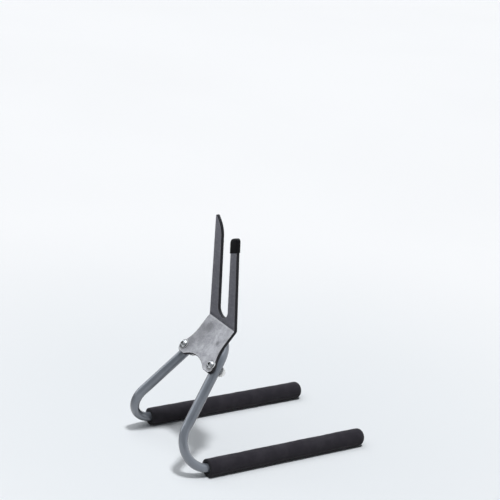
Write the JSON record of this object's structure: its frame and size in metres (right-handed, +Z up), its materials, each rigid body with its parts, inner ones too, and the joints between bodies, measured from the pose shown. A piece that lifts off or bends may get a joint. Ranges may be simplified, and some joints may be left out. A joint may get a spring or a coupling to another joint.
{
  "type": "bicycle hub stand",
  "caption": "Low floor stand that holds a bicycle upright by its rear hub: a bent tube with foam-covered floor rails carries a folded steel plate with a slotted fork.",
  "frame": {"origin": "on the floor, under the middle of the stand's outer box", "axes": "+Z up, Y along the two floor rails with the fork and the rail bends towards -Y, +X towards the short capped prong"},
  "size_m": [0.216, 0.3399, 0.3813],
  "materials": {
    "tube_paint": "satin blue-grey powder coat",
    "plate_paint": "satin grey powder coat with fine metallic mottle",
    "foam": "matt closed-cell foam skin",
    "cap_vinyl": "soft black dipped vinyl",
    "screw_chrome": "bright zinc and chrome",
    "washer_steel": "zinc-plated",
    "nut_steel": "zinc-plated",
    "plug_plastic": "moulded black"
  },
  "bodies": {
    "root": {"base_tube": "tube_paint", "foam_sleeve_left": "foam", "foam_sleeve_right": "foam", "hub_plate": "plate_paint", "prong_cap": "cap_vinyl", "screw_left": "screw_chrome", "screw_right": "screw_chrome", "front_washer_left": "washer_steel", "front_washer_right": "washer_steel", "back_washer_left": "washer_steel", "back_washer_right": "washer_steel", "lock_nut_left": "nut_steel", "lock_nut_right": "nut_steel", "tube_plug_left": "plug_plastic", "tube_plug_right": "plug_plastic"}
  },
  "joints": []
}
